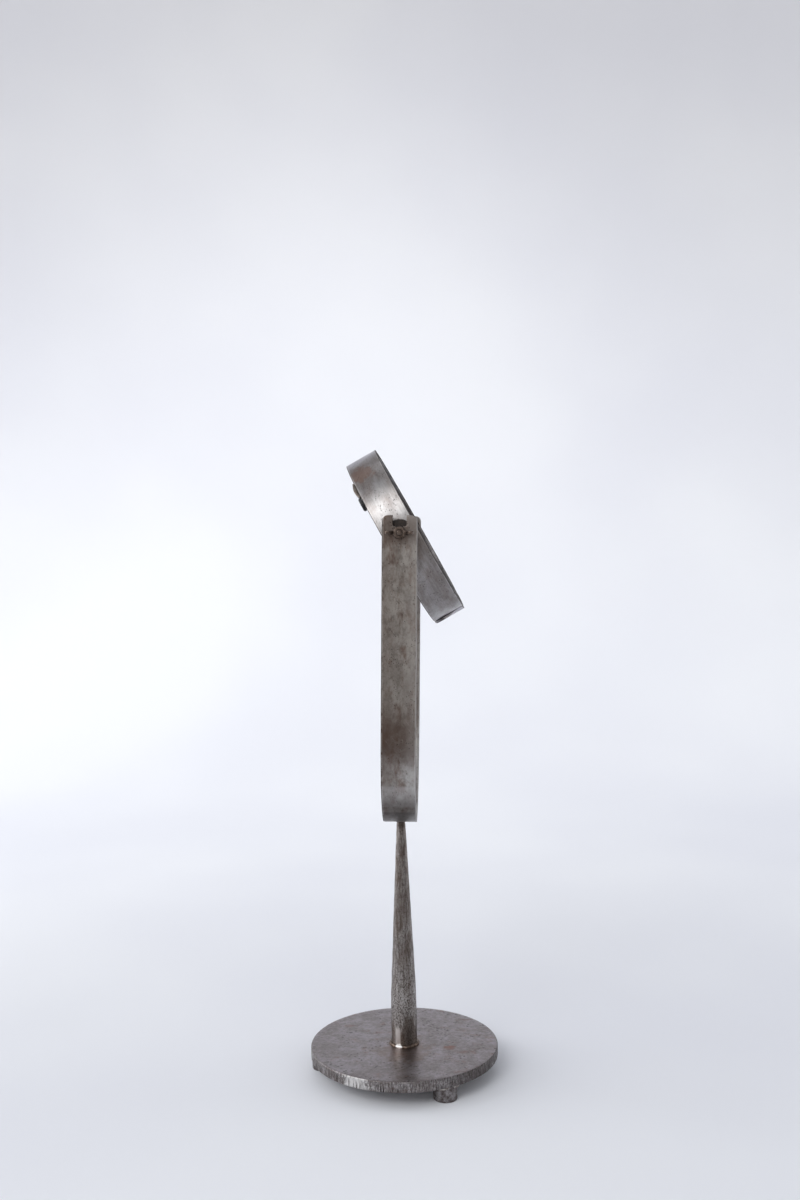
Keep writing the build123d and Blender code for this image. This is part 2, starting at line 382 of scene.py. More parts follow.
def cut_holes(mesh, cutter_mesh):
    """Takes the cutter's shape out of a mesh."""
    blank, cutter = linked("blank", mesh), linked("cutter", cutter_mesh)
    cut = blank.modifiers.new("cut", "BOOLEAN")
    cut.operation, cut.solver, cut.object = "DIFFERENCE", "EXACT", cutter
    result = evaluated(blank)
    for thing in (blank, cutter):
        bpy.data.objects.remove(thing)
    return result


# -------- procedural finishes
def tone(red, green, blue):
    """A display colour, 0 to 255, as the linear colour that a shader takes."""
    out = []
    for value in (red, green, blue):
        share = value / 255
        out.append(share / 12.92 if share <= 0.04045 else ((share + 0.055) / 1.055) ** 2.4)
    return (*out, 1.0)


class Nodes:
    """Short names for the nodes of one tree. Colours are display colours or sockets."""

    def __init__(self, tree):
        self.tree = tree

    def node(self, kind, **inputs):
        made = self.tree.nodes.new(kind)
        for key, value in inputs.items():
            self.feed(made.inputs[key], value)
        return made

    def feed(self, socket, value):
        if isinstance(value, bpy.types.NodeSocket):
            self.tree.links.new(value, socket)
        else:
            socket.default_value = value

    def maths(self, operation, a, b, kind="ShaderNodeMath"):
        made = self.node(kind)
        made.operation = operation
        self.feed(made.inputs[0], a)
        self.feed(made.inputs[1], b)
        return made.outputs["Value"]

    def plus(self, a, b):
        return self.maths("ADD", a, b)

    def times(self, a, b):
        return self.maths("MULTIPLY", a, b)

    def ramp(self, factor, low, high, start=0.0, end=1.0):
        """Maps the factor from low..high to start..end, smoothly and clamped."""
        made = self.node("ShaderNodeMapRange", Value=factor)
        made.interpolation_type = "SMOOTHSTEP"
        for key, value in zip(("From Min", "From Max", "To Min", "To Max"), (low, high, start, end)):
            made.inputs[key].default_value = value
        return made.outputs["Result"]

    def mix(self, factor, *colours):
        made = self.node("ShaderNodeMix")
        made.data_type = "RGBA"
        self.feed(made.inputs["Factor"], factor)
        for index, colour in zip((6, 7), colours):
            given = isinstance(colour, bpy.types.NodeSocket)
            self.feed(made.inputs[index], colour if given else tone(*colour))
        return made.outputs[2]


class Finish(Nodes):
    """One procedural material. Patterns are given by their size in metres; base is its colour."""

    def __init__(self, name, along_bar=False):
        self.material = bpy.data.materials.new(name)
        self.material.use_nodes = True
        super().__init__(self.material.node_tree)
        self.shader = self.tree.nodes["Principled BSDF"]
        if along_bar:
            place = self.node("ShaderNodeAttribute")
            place.attribute_name = "flat"
            self.place = place.outputs["Vector"]
        else:
            self.place = self.node("ShaderNodeTexCoord").outputs["Object"]

    def scaled(self, size, seed):
        sizes = size if hasattr(size, "__len__") else (size, size, size)
        mapping = self.node("ShaderNodeMapping", Vector=self.place)
        mapping.inputs["Scale"].default_value = [1 / s for s in sizes]
        mapping.inputs["Location"].default_value = (seed, seed * 0.7, seed * 1.3)
        return mapping.outputs["Vector"]

    def cloud(self, size, detail=4.0, rough=0.55, seed=0.0, twist=0.0):
        made = self.node("ShaderNodeTexNoise", Vector=self.scaled(size, seed), Scale=1.0,
                         Detail=detail, Roughness=rough, Distortion=twist)
        return made.outputs["Fac"]

    def cells(self, size, seed):
        made = self.node("ShaderNodeTexVoronoi", Vector=self.scaled(size, seed), Scale=1.0)
        return made.outputs["Distance"]

    def part(self, axis):
        return self.node("ShaderNodeSeparateXYZ", Vector=self.place).outputs[axis]

    def spot(self, centre, size, ragged, grain):
        """1 inside a ragged patch about a point, 0 outside it."""
        gap = self.maths("DISTANCE", self.place, centre, "ShaderNodeVectorMath")
        edge = self.ramp(self.cloud(grain, 5, 0.7), 0.3, 0.7, -ragged, ragged)
        return self.ramp(self.plus(gap, edge), size * 0.55, size, 1, 0)

    def paint(self, factor, colour):
        """Lays a colour over the base, as far as the factor says."""
        self.base = self.mix(factor, self.base, colour)

    def bump(self, height, depth, under=None):
        made = self.node("ShaderNodeBump", Height=height, Strength=1.0, Distance=depth)
        if under is not None:
            self.feed(made.inputs["Normal"], under)
        return made.outputs["Normal"]

    def done(self, rough, metal=1.0, normal=None):
        self.feed(self.shader.inputs["Base Color"], self.base)
        self.feed(self.shader.inputs["Roughness"], rough)
        self.feed(self.shader.inputs["Metallic"], metal)
        if normal is not None:
            self.feed(self.shader.inputs["Normal"], normal)
        return self.material


RUST = (122, 74, 52)
RUST_DARK = (78, 52, 42)
HEAT_BROWN = (112, 92, 82)
BRUSHED = (206, 203, 200)


def plate_finish():
    """Mill scale rubbed back and waxed: purple-grey, speckled, with faint rust."""
    f = Finish("plate_top_steel")
    mottle = f.cloud(15 * MM, 6, 0.64)
    fine = f.cloud(2.6 * MM, 5, 0.66, seed=3)
    f.base = f.mix(f.ramp(mottle, 0.34, 0.66), (112, 104, 103), (142, 136, 138))
    f.paint(f.ramp(fine, 0.36, 0.50, 0.42, 0), (84, 75, 72))
    f.paint(f.ramp(fine, 0.52, 0.66, 0, 0.30), (168, 162, 163))
    speckled = f.spot((24 * MM, 24 * MM, 19.5 * MM), 17 * MM, 9 * MM, 7 * MM)
    speckled = f.maths("MAXIMUM", speckled, f.ramp(f.cloud(13 * MM, 4, 0.6, 8), 0.50, 0.60))
    speckle = f.times(f.ramp(f.cells(3.0 * MM, 5), 0.14, 0.40, 1, 0), speckled)
    f.paint(f.times(speckle, 0.85), (52, 45, 42))
    rust_cloud = f.ramp(f.cloud((16 * MM, 9 * MM, 9 * MM), 7, 0.72, seed=21), 0.55, 0.70, 0, 0.42)
    mark = f.spot((34 * MM, -10 * MM, 19.5 * MM), 4.6 * MM, 2.4 * MM, (6 * MM, 2 * MM, 2 * MM))
    tinge = f.spot((0, -16 * MM, 19.5 * MM), 24 * MM, 9 * MM, 9 * MM)
    rust = f.maths("MAXIMUM", rust_cloud, f.times(mark, 0.62))
    f.paint(f.times(tinge, 0.5), HEAT_BROWN)
    f.paint(rust, RUST)
    scratch = f.ramp(f.cloud((30 * MM, 0.5 * MM, 9 * MM), 3, 0.5, 4, 1.5), 0.66, 0.73, 0, 0.22)
    f.paint(scratch, (196, 190, 190))
    rough = f.plus(f.ramp(mottle, 0.3, 0.7, 0.29, 0.40), f.times(rust, 0.3))
    normal = f.bump(f.cloud(34 * MM, 2, 0.5, seed=2), 0.22 * MM)
    normal = f.bump(fine, 0.022 * MM, normal)
    normal = f.bump(speckle, -0.05 * MM, normal)
    return f.done(rough, f.ramp(rust, 0, 1, 1, 0.45), normal)


def flame_cut_finish():
    """Rim of the plate: steep drag lines, bright where a grinder touched them."""
    f = Finish("plate_rim_steel")
    turn = f.maths("ARCTAN2", f.part("Y"), f.part("X"))
    spread = f.node("ShaderNodeCombineXYZ", X=f.times(turn, 72 * MM), Y=0.0, Z=f.part("Z"))
    ground = f.spot((-34 * MM, -63 * MM, 15 * MM), 13 * MM, 5 * MM, 4 * MM)
    # painted shade: the rim is darkened towards its right side
    shaded = f.ramp(f.part("X"), 12 * MM, 58 * MM, 0, 0.55)
    f.place = spread.outputs["Vector"]
    streak = f.cloud((0.6 * MM, 1, 9 * MM), 3, 0.68)
    fleck = f.cloud((0.9 * MM, 1, 1.6 * MM), 4, 0.7, seed=4)
    broad = f.cloud((9 * MM, 1, 9 * MM), 4, 0.6, seed=6)
    f.base = f.mix(f.ramp(streak, 0.36, 0.56), (44, 39, 37), (172, 167, 167))
    f.paint(f.ramp(fleck, 0.40, 0.54, 0.55, 0), (46, 39, 36))
    f.paint(f.ramp(broad, 0.40, 0.62, 0.45, 0.0), (88, 79, 75))
    rust = f.ramp(f.cloud((4 * MM, 1, 3 * MM), 5, 0.65, seed=9), 0.58, 0.70, 0, 0.55)
    f.paint(rust, RUST_DARK)
    f.paint(shaded, (48, 42, 39))
    f.paint(f.times(ground, f.ramp(streak, 0.36, 0.52)), (214, 212, 210))
    return f.done(f.ramp(streak, 0.3, 0.7, 0.60, 0.36), f.ramp(rust, 0, 1, 1, 0.4),
                  f.bump(streak, 0.10 * MM))


def forged_finish():
    """Black-hot hammered bar, wire-brushed: fine vertical mottle with dark scale left in it."""
    f = Finish("hammered_post_steel")
    long_grain = f.cloud((1.5 * MM, 1.5 * MM, 9 * MM), 5, 0.62)
    facet = f.cloud((6 * MM, 6 * MM, 15 * MM), 3, 0.5, seed=5)
    pits = f.cloud((0.9 * MM, 0.9 * MM, 1.3 * MM), 4, 0.68, seed=2)
    low_down = f.ramp(f.part("Z"), 40 * MM, 95 * MM, 1, 0)
    f.base = f.mix(f.ramp(long_grain, 0.36, 0.64), (100, 93, 88), (152, 147, 144))
    f.paint(f.times(low_down, f.ramp(pits, 0.40, 0.56, 0.75, 0)), (196, 193, 190))
    f.paint(f.ramp(pits, 0.50, 0.64, 0, 0.70), (54, 47, 43))
    f.paint(f.ramp(facet, 0.36, 0.60, 0.40, 0), (92, 80, 72))
    rust = f.ramp(f.cloud((4 * MM, 4 * MM, 9 * MM), 6, 0.7, seed=13), 0.60, 0.72, 0, 0.5)
    f.paint(rust, RUST_DARK)
    # Low down the post is painted a darker brown, and a narrow upright strip left of centre is painted
    # bright: a painted highlight.
    height = f.plus(f.part("Z"), f.ramp(facet, 0.3, 0.7, -7 * MM, 7 * MM))
    low_stretch = f.ramp(height, 34 * MM, 42 * MM, 1, 0)
    painted_highlight_strip = f.times(f.ramp(f.part("X"), -7.4 * MM, -5.4 * MM),
                    f.ramp(f.part("X"), -3.6 * MM, -1.8 * MM, 1, 0))
    f.paint(f.times(low_stretch, 0.60), (98, 88, 80))
    f.paint(f.times(f.times(low_stretch, painted_highlight_strip), 0.8), (238, 235, 232))
    neck = f.ramp(f.part("Z"), 186 * MM, 190 * MM, 0, 0.6)
    f.paint(neck, (64, 56, 51))
    rough = f.plus(f.ramp(long_grain, 0.35, 0.65, 0.46, 0.32), f.times(rust, 0.3))
    normal = f.bump(facet, 0.30 * MM)
    normal = f.bump(long_grain, 0.07 * MM, normal)
    normal = f.bump(pits, -0.05 * MM, normal)
    return f.done(rough, f.ramp(rust, 0, 1, 1, 0.45), normal)


def bar_finish(name, dark, light, brushed, blotchy, roughness, seed, marks, edge_light_and_shade):
    """Rolled flat bar: mill scale in patches, grain along the bar, pits, scratches and rust.
    Along the bar is x of the flat blank, across it is y, through it is z."""
    f = Finish(name, along_bar=True)
    patch = f.cloud((24 * MM, 11 * MM, 10 * MM), 6, 0.62, seed)
    grain = f.cloud((9 * MM, 0.4 * MM, 0.4 * MM), 4, 0.65, seed + 1, 0.3)
    mottle = f.cloud((5 * MM, 4 * MM, 4 * MM), 5, 0.66, seed + 2)
    fine = f.cloud(0.9 * MM, 4, 0.65, seed + 9)
    brown = f.cloud((16 * MM, 7 * MM, 7 * MM), 6, 0.68, seed + 7)
    pits = f.cells((2.0 * MM, 1.4 * MM, 1.4 * MM), seed + 3)
    where = f.cloud((11 * MM, 8 * MM, 8 * MM), 4, 0.6, seed + 4)
    f.base = f.mix(f.ramp(patch, 0.34, 0.66), dark, light)
    f.paint(f.ramp(brown, 0.46, 0.66, 0, 0.8 * blotchy), HEAT_BROWN)
    f.paint(f.ramp(mottle, 0.34, 0.56, 0.42 * blotchy, 0), (78, 67, 61))
    f.paint(f.ramp(fine, 0.36, 0.50, 0.22, 0), (84, 75, 70))
    f.paint(f.ramp(grain, 0.42, 0.66, 0, brushed), BRUSHED)
    marks(f)
    pitted = f.times(f.ramp(pits, 0.10, 0.30, 1, 0), f.ramp(where, 0.51, 0.58))
    f.paint(f.times(pitted, 0.8), (44, 36, 32))
    turned = f.node("ShaderNodeVectorRotate", Vector=f.place, Angle=radians(38))
    turned.rotation_type = "Z_AXIS"
    kept, f.place = f.place, turned.outputs["Vector"]
    lines = f.cloud((9 * MM, 0.8 * MM, 6 * MM), 3, 0.55, seed + 5, 0.6)
    f.place = kept
    f.paint(f.ramp(lines, 0.67, 0.74, 0, 0.25), (196, 192, 188))
    f.paint(f.ramp(lines, 0.26, 0.33, 0.6, 0), (56, 46, 42))
    rust = f.ramp(f.cloud((9 * MM, 4 * MM, 4 * MM), 7, 0.74, seed + 6), 0.61, 0.70, 0, 0.55)
    f.paint(rust, RUST_DARK)
    y_squared = f.times(f.part("Y"), f.part("Y"))
    worn = f.ramp(y_squared, (BAR_W / 2 - 1.3 * MM) ** 2, (BAR_W / 2 - 0.8 * MM) ** 2, 0, 0.5)
    f.paint(f.times(worn, f.ramp(mottle, 0.36, 0.52)), BRUSHED)
    # painted light and shade along the bar's two edges: each edge gets its own tone
    rim = f.ramp(y_squared, (BAR_W / 2 - 0.75 * MM) ** 2, (BAR_W / 2 - 0.4 * MM) ** 2, 0, 0.85)
    f.paint(rim, f.mix(f.ramp(f.part("Y"), -MM, MM), *edge_light_and_shade))
    low, high = roughness
    rough = f.plus(f.ramp(patch, 0.3, 0.7, high, low), f.times(f.plus(rust, rim), 0.25))
    normal = f.bump(f.cloud((24 * MM, 12 * MM, 12 * MM), 2, 0.5, seed + 8), 0.26 * MM)
    normal = f.bump(grain, 0.005 * MM, normal)
    normal = f.bump(mottle, 0.04 * MM, normal)
    normal = f.bump(fine, 0.012 * MM, normal)
    normal = f.bump(pitted, -0.06 * MM, normal)
    return f.done(rough, f.ramp(rust, 0, 1, 1, 0.45), normal)


def arm_marks(f):
    """Heat-browned stretches above the bend and round the pivots, and a lighter outer side; on the bend
    itself a painted dark reflection band low down and a painted light reflection band above it.
    """
    x_squared = f.times(f.part("X"), f.part("X"))

    def beyond(start, end):
        return f.ramp(x_squared, (start * MM) ** 2, (end * MM) ** 2)

    def between(start, end, edge):
        return f.times(beyond(start, start + edge), f.maths("SUBTRACT", 1.0, beyond(end, end + edge)))

    cloud = f.ramp(f.cloud((9 * MM, 12 * MM, 9 * MM), 5, 0.6, 61), 0.30, 0.60, 0.65, 1)
    # painted reflection on the bend: a dark band low down, then a light band
    f.paint(f.times(between(22, 46, 4), 0.68), (66, 60, 58))
    f.paint(f.times(between(54, 76, 3), 0.36), (196, 194, 194))
    f.paint(f.times(f.times(between(80, 118, 26), cloud), 0.80), (92, 76, 68))
    f.paint(f.times(beyond(247, 256), 0.60), (98, 84, 76))
    f.paint(f.ramp(f.part("Y"), 1 * MM, 12 * MM, 0, 0.30), (104, 90, 82))
    f.paint(f.ramp(f.part("Y"), -10 * MM, -2 * MM, 0.25, 0), (206, 204, 202))


def hoop_marks(f):
    """A heat tint in front of the top, and painted light and shade along the hoop: a lighter top, a darker
    band past it, a brighter band above the pivots (brushed as well as a painted highlight), a darker lower
    front, a lighter bottom, a painted shadow at the lapped corner and painted shade inside.
    """
    top, bottom = pi * HOOP_R_MID, 2 * pi * HOOP_R_MID
    along = f.part("X")

    def between(start, end, edge):
        return f.times(f.ramp(along, start, start + edge), f.ramp(along, end, end + edge, 1, 0))

    # painted highlight: the top of the hoop is lighter
    f.paint(f.ramp(along, top + 16 * MM, top + 29 * MM, 0.65, 0), (192, 190, 198))
    tint = f.spot((top + 41 * MM, -5 * MM, 0), 11 * MM, 5 * MM, 6 * MM)
    f.paint(f.times(tint, 0.6), (132, 100, 84))
    # painted shade: a darker band past the top
    shade = between(top + 26 * MM, top + 52 * MM, 8 * MM)
    f.paint(f.times(shade, 0.35), (96, 84, 76))
    # brighter band above the pivots: brushing, and a painted highlight where the window's reflection falls
    brushed = between(top + 58 * MM, top + 92 * MM, 12 * MM)
    f.paint(f.times(brushed, 0.12), (180, 180, 178))
    # painted shade on the lower front of the hoop, then painted light on the bottom that faces the white
    # floor
    low = between(bottom - 74 * MM, bottom - 36 * MM, 14 * MM)
    f.paint(f.times(low, 0.22), (92, 82, 76))
    f.paint(f.ramp(along, bottom - 22 * MM, bottom - 8 * MM, 0, 0.4), (190, 188, 194))
    # painted shadow in the snipped corner of the lapped end
    corner = f.spot((3 * MM - LAP_FRONT * HOOP_R_MID, 3.5 * MM - BAR_W / 2, 0), 7 * MM, 2 * MM, 3 * MM)
    f.paint(f.times(corner, 0.75), (54, 48, 46))
    # painted shade on the inner face of the hoop
    inside = f.ramp(f.part("Z"), -1.0 * MM, -0.5 * MM, 0.78, 0)
    f.paint(inside, (56, 49, 45))


def cast_finish(name, dark, light, rough, size):
    """Small hardware: fine cast or turned texture with grime in the hollows."""
    f = Finish(name)
    mottle = f.cloud(size, 5, 0.62)
    fine = f.cloud(size / 6, 4, 0.6, seed=4)
    f.base = f.mix(f.ramp(mottle, 0.36, 0.64), dark, light)
    f.paint(f.ramp(fine, 0.45, 0.65, 0, 0.4), (58, 50, 46))
    normal = f.bump(mottle, 0.08 * MM)
    normal = f.bump(fine, 0.02 * MM, normal)
    return f.done(f.ramp(mottle, 0.3, 0.7, rough + 0.12, rough), 1.0, normal)


def weld_finish(name, dark, light, rough):
    """Bead with heat colours, soot and, on the post's left, one bright glint."""
    f = Finish(name)
    heat = f.cloud(3 * MM, 4, 0.6)
    f.base = f.mix(f.ramp(heat, 0.36, 0.60), dark, light)
    soot = f.ramp(f.cloud(1.4 * MM, 4, 0.65, seed=7), 0.55, 0.68, 0, 0.6)
    f.paint(soot, (62, 54, 49))
    glint = f.spot((-4.2 * MM, -10.6 * MM, 21 * MM), 3.0 * MM, 0.5 * MM, 1.5 * MM)
    f.paint(glint, (254, 252, 250))
    return f.done(f.ramp(heat, 0.3, 0.7, rough + 0.14, rough), 1.0,
                  f.bump(f.cloud(0.8 * MM, 3, 0.5, seed=2), 0.05 * MM))


def dull_finish(name, dark, light, size, rough):
    """Non-metals: the fibre of the friction discs and the ferrite of the magnet."""
    f = Finish(name)
    mottle = f.cloud(size, 5, 0.65)
    f.base = f.mix(f.ramp(mottle, 0.34, 0.66), dark, light)
    chips = f.ramp(f.cells(size * 1.6, 3), 0.05, 0.16, 0.5, 0)
    f.paint(chips, light)
    return f.done(f.ramp(mottle, 0.3, 0.7, rough, rough + 0.15), 0.0,
                  f.bump(mottle, 0.06 * MM))


PLATE_TOP = plate_finish()
PLATE_RIM = flame_cut_finish()
FORGED = forged_finish()
ARM_STEEL = bar_finish("yoke_bar_steel", (142, 137, 132), (174, 171, 167), 0.06, 1.0,
                       (0.34, 0.44), 3.0, arm_marks, ((168, 166, 165), (52, 45, 41)))
HOOP_STEEL = bar_finish("hoop_bar_steel", (134, 129, 128), (164, 162, 162), 0.16, 0.45,
                        (0.32, 0.40), 40.0, hoop_marks, ((92, 84, 80), (44, 38, 35)))
FOOT_STEEL = cast_finish("foot_bar_steel", (92, 84, 82), (150, 146, 147), 0.40, 3.5 * MM)
HARDWARE = cast_finish("cast_nut_steel", (86, 74, 67), (126, 114, 106), 0.36, 2.2 * MM)
LUG_STEEL = cast_finish("rim_lug_steel", (96, 86, 79), (134, 126, 119), 0.40, 3 * MM)
WELD = weld_finish("weld_bead_steel", (112, 100, 92), (184, 178, 172), 0.26)
FOOT_WELD = weld_finish("brushed_weld_steel", (78, 66, 58), (112, 98, 89), 0.34)
FIBRE = dull_finish("friction_disc_fibre", (34, 28, 25), (66, 56, 50), 1.2 * MM, 0.6)
FERRITE = dull_finish("magnet_ferrite", (16, 16, 17), (34, 34, 36), 1.0 * MM, 0.4)


# -------- base
def round_box(node):
    """The corners of a round node's box, and its radius."""
    low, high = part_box(node)
    return low, high, (high.x - low.x) / 2


def base_plate():
    low, high, radius = round_box("base_plate")
    edge = PLATE_EDGE
    rim = [(radius, low.z + edge + k * (high.z - low.z - 2 * edge) / 12) for k in range(13)]
    rings = [(r * radius, low.z) for r in (0.3, 0.6, 0.8, 0.9, 0.96)]
    tops = [(r, high.z) for r, _ in reversed(rings)]
    profile = [(0, low.z), *rings, (radius - edge, low.z), (radius - edge * 0.35, low.z + edge * 0.3),
               *rim, (radius - edge * 0.35, high.z - edge * 0.3), (radius - edge, high.z),
               *tops, (0, high.z)]

    def flame_cut(angle, r, z):
        """Drag lines of the cut, deeper and further back at the bottom; the edges are nicked."""
        share = (high.z - z) / (high.z - low.z)
        around = angle * radius
        spoke = round_z(angle, radius, 0)
        if r > radius - edge * 0.5:
            line = lump((around - 1.2 * MM * share**2, 0, z), (0.9 * MM, 1, 9 * MM), 2)
            wide = lump(spoke, 9 * MM, 5)
            gouge = max(0.0, lump((around, 0, z), (1.6 * MM, 1, 4 * MM), 11) - 0.55)
            r -= (0.17 + 0.09 * line + 0.08 * wide + 0.8 * gouge * share) * MM
        elif r > radius - edge * 1.5:
            r -= (0.14 + 0.14 * lump(spoke, 2.2 * MM, 7)) * MM
        return r, z

    mesh = lathe("base_plate_mesh", profile, 1080, flame_cut)
    rim_r = radius - edge * 1.2
    for face in mesh.polygons:
        centre = face.center
        if hypot(centre.x, centre.y) > rim_r and low.z < centre.z < high.z - 0.05 * MM:
            face.material_index = 1
    new_piece("flame_cut_plate", mesh, "stand", "plate_steel", "base_plate", PLATE_TOP, PLATE_RIM)


def foot(name):
    low, high, radius = round_box(name + "_foot")
    middle, edge = (low + high) / 2, FOOT_EDGE
    profile = [(0, 0), (radius * 0.5, 0), (radius - edge, 0), (radius - edge * 0.3, edge * 0.3)]
    height = high.z - low.z
    profile += [(radius, edge + k * (height - edge) / 8) for k in range(9)]
    profile += [(radius * 0.5, height), (0, height)]

    def sawn(angle, r, z):
        spoke = round_z(angle, r, z)
        if r > radius - edge * 1.1:
            r -= (0.20 + 0.16 * lump(spoke, (3 * MM, 3 * MM, 5 * MM), len(name))) * MM
        if z < edge * 0.2 and r < radius - edge * 1.1:
            z += 0.05 * MM * (1 + lump(spoke, 2 * MM, 3))
        return r, z

    place = Matrix.Translation((middle.x, middle.y, low.z))
    mesh = lathe(name + "_foot_mesh", profile, 96, sawn, place)
    new_piece(name + "_bar_foot", mesh, "stand", "foot_steel", name + "_foot", FOOT_STEEL)


def foot_weld(name):
    low, high, radius = round_box(name + "_foot")
    middle = (low + high) / 2
    plate_r = round_box("base_plate")[2]
    path = []
    for point in circle(radius + 0.3 * MM, 160, high.z - 0.4 * MM, 0.15 * MM, len(name)):
        place = point + Vector((middle.x, middle.y, 0))
        room = plate_r - RIM_BEAD_ROOM - hypot(place.x, place.y)
        if room < 0:
            place += Vector((-middle.x, -middle.y, 0)).normalized() * -room
        path.append(place)
    bead(name + "_foot_bead", name + "_foot_weld", path, FOOT_BEAD, WELD, len(name))


# -------- post
def post():
    low, high, radius = round_box("post")
    bottom, top, rows = low.z, high.z, 150
    shoulder = bottom + POST_L - NECK_H
    profile = [(0, bottom), (radius * 0.5, bottom)]
    for k in range(rows + 1):
        z = bottom + (shoulder - bottom) * k / rows
        share = max(0.0, (z - bottom - POST_PARALLEL_H) / (shoulder - bottom - POST_PARALLEL_H))
        share = max(0.0, (share - 0.03) / 0.97) if share > 0.06 else share * 0.5
        profile.append((radius + (POST_TOP_R - radius) * share, z))
    profile += [(NECK_R, shoulder + 0.6 * MM), (NECK_R, shoulder + NECK_H * 0.7), (NECK_R * 0.97, top),
                (0, top)]

    def hammered(angle, r, z):
        """Overlapping hammer faces, longer than they are wide, and rolled grain."""
        if r < POST_TOP_R * 0.9 or z > shoulder:
            return r, z
        spoke = round_z(angle, r, z)
        blow = lump(spoke, (6 * MM, 6 * MM, 11 * MM), 4)
        grain = lump(spoke, (1.7 * MM, 1.7 * MM, 9 * MM), 9)
        depth = 0.5 * r / radius + 0.5
        return r - (0.20 + 0.13 * blow + 0.07 * grain) * MM * depth, z

    mesh = lathe("post_mesh", profile, 144, hammered)
    new_piece("forged_post", mesh, "stand", "forged_steel", "post", FORGED)


def post_welds():
    low, _, radius = round_box("post")
    path = circle(radius + 0.1 * MM, 220, low.z + 0.1 * MM, 0.25 * MM, 2)
    bead("post_foot_bead", "post_foot_weld", path, POST_BEAD, FOOT_WELD, 3, around=20)
    top_low, top_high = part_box("post_top_weld")
    height = (top_low.z + top_high.z) / 2 + 0.5 * MM
    path = circle(NECK_R - 0.1 * MM, 96, height, 0.2 * MM, 6)
    bead("post_top_bead", "post_top_weld", path, NECK_BEAD, FORGED, 8, slot="forged_steel")


# -------- yoke
def yoke():
    r_mid = YOKE_R_OUT - YOKE_T / 2
    arc = r_mid * pi / 2
    half = arc + PIVOT_H - YOKE_R_OUT + EAR_RISE
    ear_x = [half, half - (EAR_RISE - MOUTH_FLOOR), half - EAR_RISE]
    w, m, s = BAR_W / 2, MOUTH_W / 2, SLOT_W / 2
    slot_end = [(ear_x[2] - s * sin(radians(a)), s * cos(radians(a))) for a in range(0, 181, 15)]
    arm = [(half, -w), (half, -m), (ear_x[1], -m), (ear_x[1], -s)]
    arm_radii = [EAR_CORNER, 0.4 * MM, MOUTH_CORNER, 0.3 * MM]
    end = arm + [(x, -y) for x, y in slot_end] + [(x, -y) for x, y in reversed(arm)]
    end_radii = arm_radii + [0] * len(slot_end) + list(reversed(arm_radii))
    other = [(-x, -y) for x, y in end]
    outline = rounded(end + other, end_radii * 2)
    step = 2.2 * MM
    straight = [arc + k * step for k in range(1, int((half - arc) / step))]
    curve = [r_mid * radians(a) for a in range(0, 91, 2)]
    stations = sorted({x * side for x in straight + curve for side in (-1, 1)})
    blank = flat_blank(outline, YOKE_T, YOKE_EDGE, stations, BAR_ROWS)

    def follow(x, y, z):
        """Up one arm, round the bend and up the other; z is outwards through the bar."""
        uneven = 0.10 * MM * lump((x, y, 0), (28 * MM, 18 * MM, 1), 3)
        uneven += 0.05 * MM * lump((x, y, 0), (7 * MM, 5 * MM, 1), 8)
        y = worn_edge(x, y, z, 5)
        r = r_mid + z - abs(uneven)
        if abs(x) < arc:
            turn = x / r_mid
            return Vector((-y, r * sin(turn), YOKE_R_OUT - r * cos(turn)))
        side = 1 if x > 0 else -1
        return Vector((-y, side * r, YOKE_R_OUT + abs(x) - arc))

    mesh = bend("yoke_mesh", blank, follow, YOKE)
    new_piece("bent_yoke_bar", mesh, "stand", "bar_steel", "yoke_strap", ARM_STEEL)


# -------- hoop
def bolt_hole_cutter():
    bore = BOLT_R + BORE_GAP
    reach = HOOP_R_OUT + 6 * MM
    turned = HOOP @ Matrix.Rotation(pi / 2, 4, "X")
    return lathe("cutter", [(0, -reach), (bore, -reach), (bore, reach), (0, reach)], 40, matrix=turned)


def hoop_band():
    start, end = -LAP_FRONT * HOOP_R_MID, (2 * pi + LAP_BACK) * HOOP_R_MID
    w = BAR_W / 2
    corners = [(end, -w), (end, w), (start, w), (start, -w)]
    outline = rounded(corners, [0.5 * MM, 0.5 * MM, 1.5 * MM, 0])[:-1]
    for k in range(13):
        turn = pi / 2 * k / 12
        outline.append(Vector((start + SNIP_L * (1 - cos(turn)), SNIP_W * (1 - sin(turn)) - w)))
    step = radians(1.6) * HOOP_R_MID
    stations = [start + k * step for k in range(1, int((end - start) / step))]
    blank = flat_blank(outline, HOOP_T, HOOP_EDGE, stations, BAR_ROWS)

    def follow(x, y, z):
        """Round the ring; the first stretch steps out and lies over the other end."""
        turn = x / HOOP_R_MID
        out = max(0.0, min(1.0, (LAP_BACK + JOGGLE_ARC - turn) / JOGGLE_ARC))
        out = out * out * (3 - 2 * out)
        uneven = abs(lump((x, y, 0), (24 * MM, 20 * MM, 1), 6)) * 0.08 * MM
        y = worn_edge(x, y, z, 2)
        r = HOOP_R_MID + z + out * HOOP_T
        if turn < LAP_BACK:
            open_end = LAP_GAP * (0.55 - 0.45 * y / w)
            r += open_end * (0.5 - z / HOOP_T)
        else:
            r -= uneven * (0.5 + z / HOOP_T)
        if turn < 0:
            across = min(1.0, max(0.0, (y + 2 * MM) / (9 * MM)))
            thinned = 0.85 * across * across * (3 - 2 * across) * -turn / LAP_FRONT
            r -= thinned * (z + HOOP_T / 2)
        return Vector((y - out * LAP_SKEW, r * sin(turn), -r * cos(turn)))

    mesh = bend("hoop_mesh", blank, follow, RING)
    mesh = cut_holes(mesh, bolt_hole_cutter())
    new_piece("rolled_hoop_bar", mesh, "hoop", "hoop_steel", "hoop_band", HOOP_STEEL)


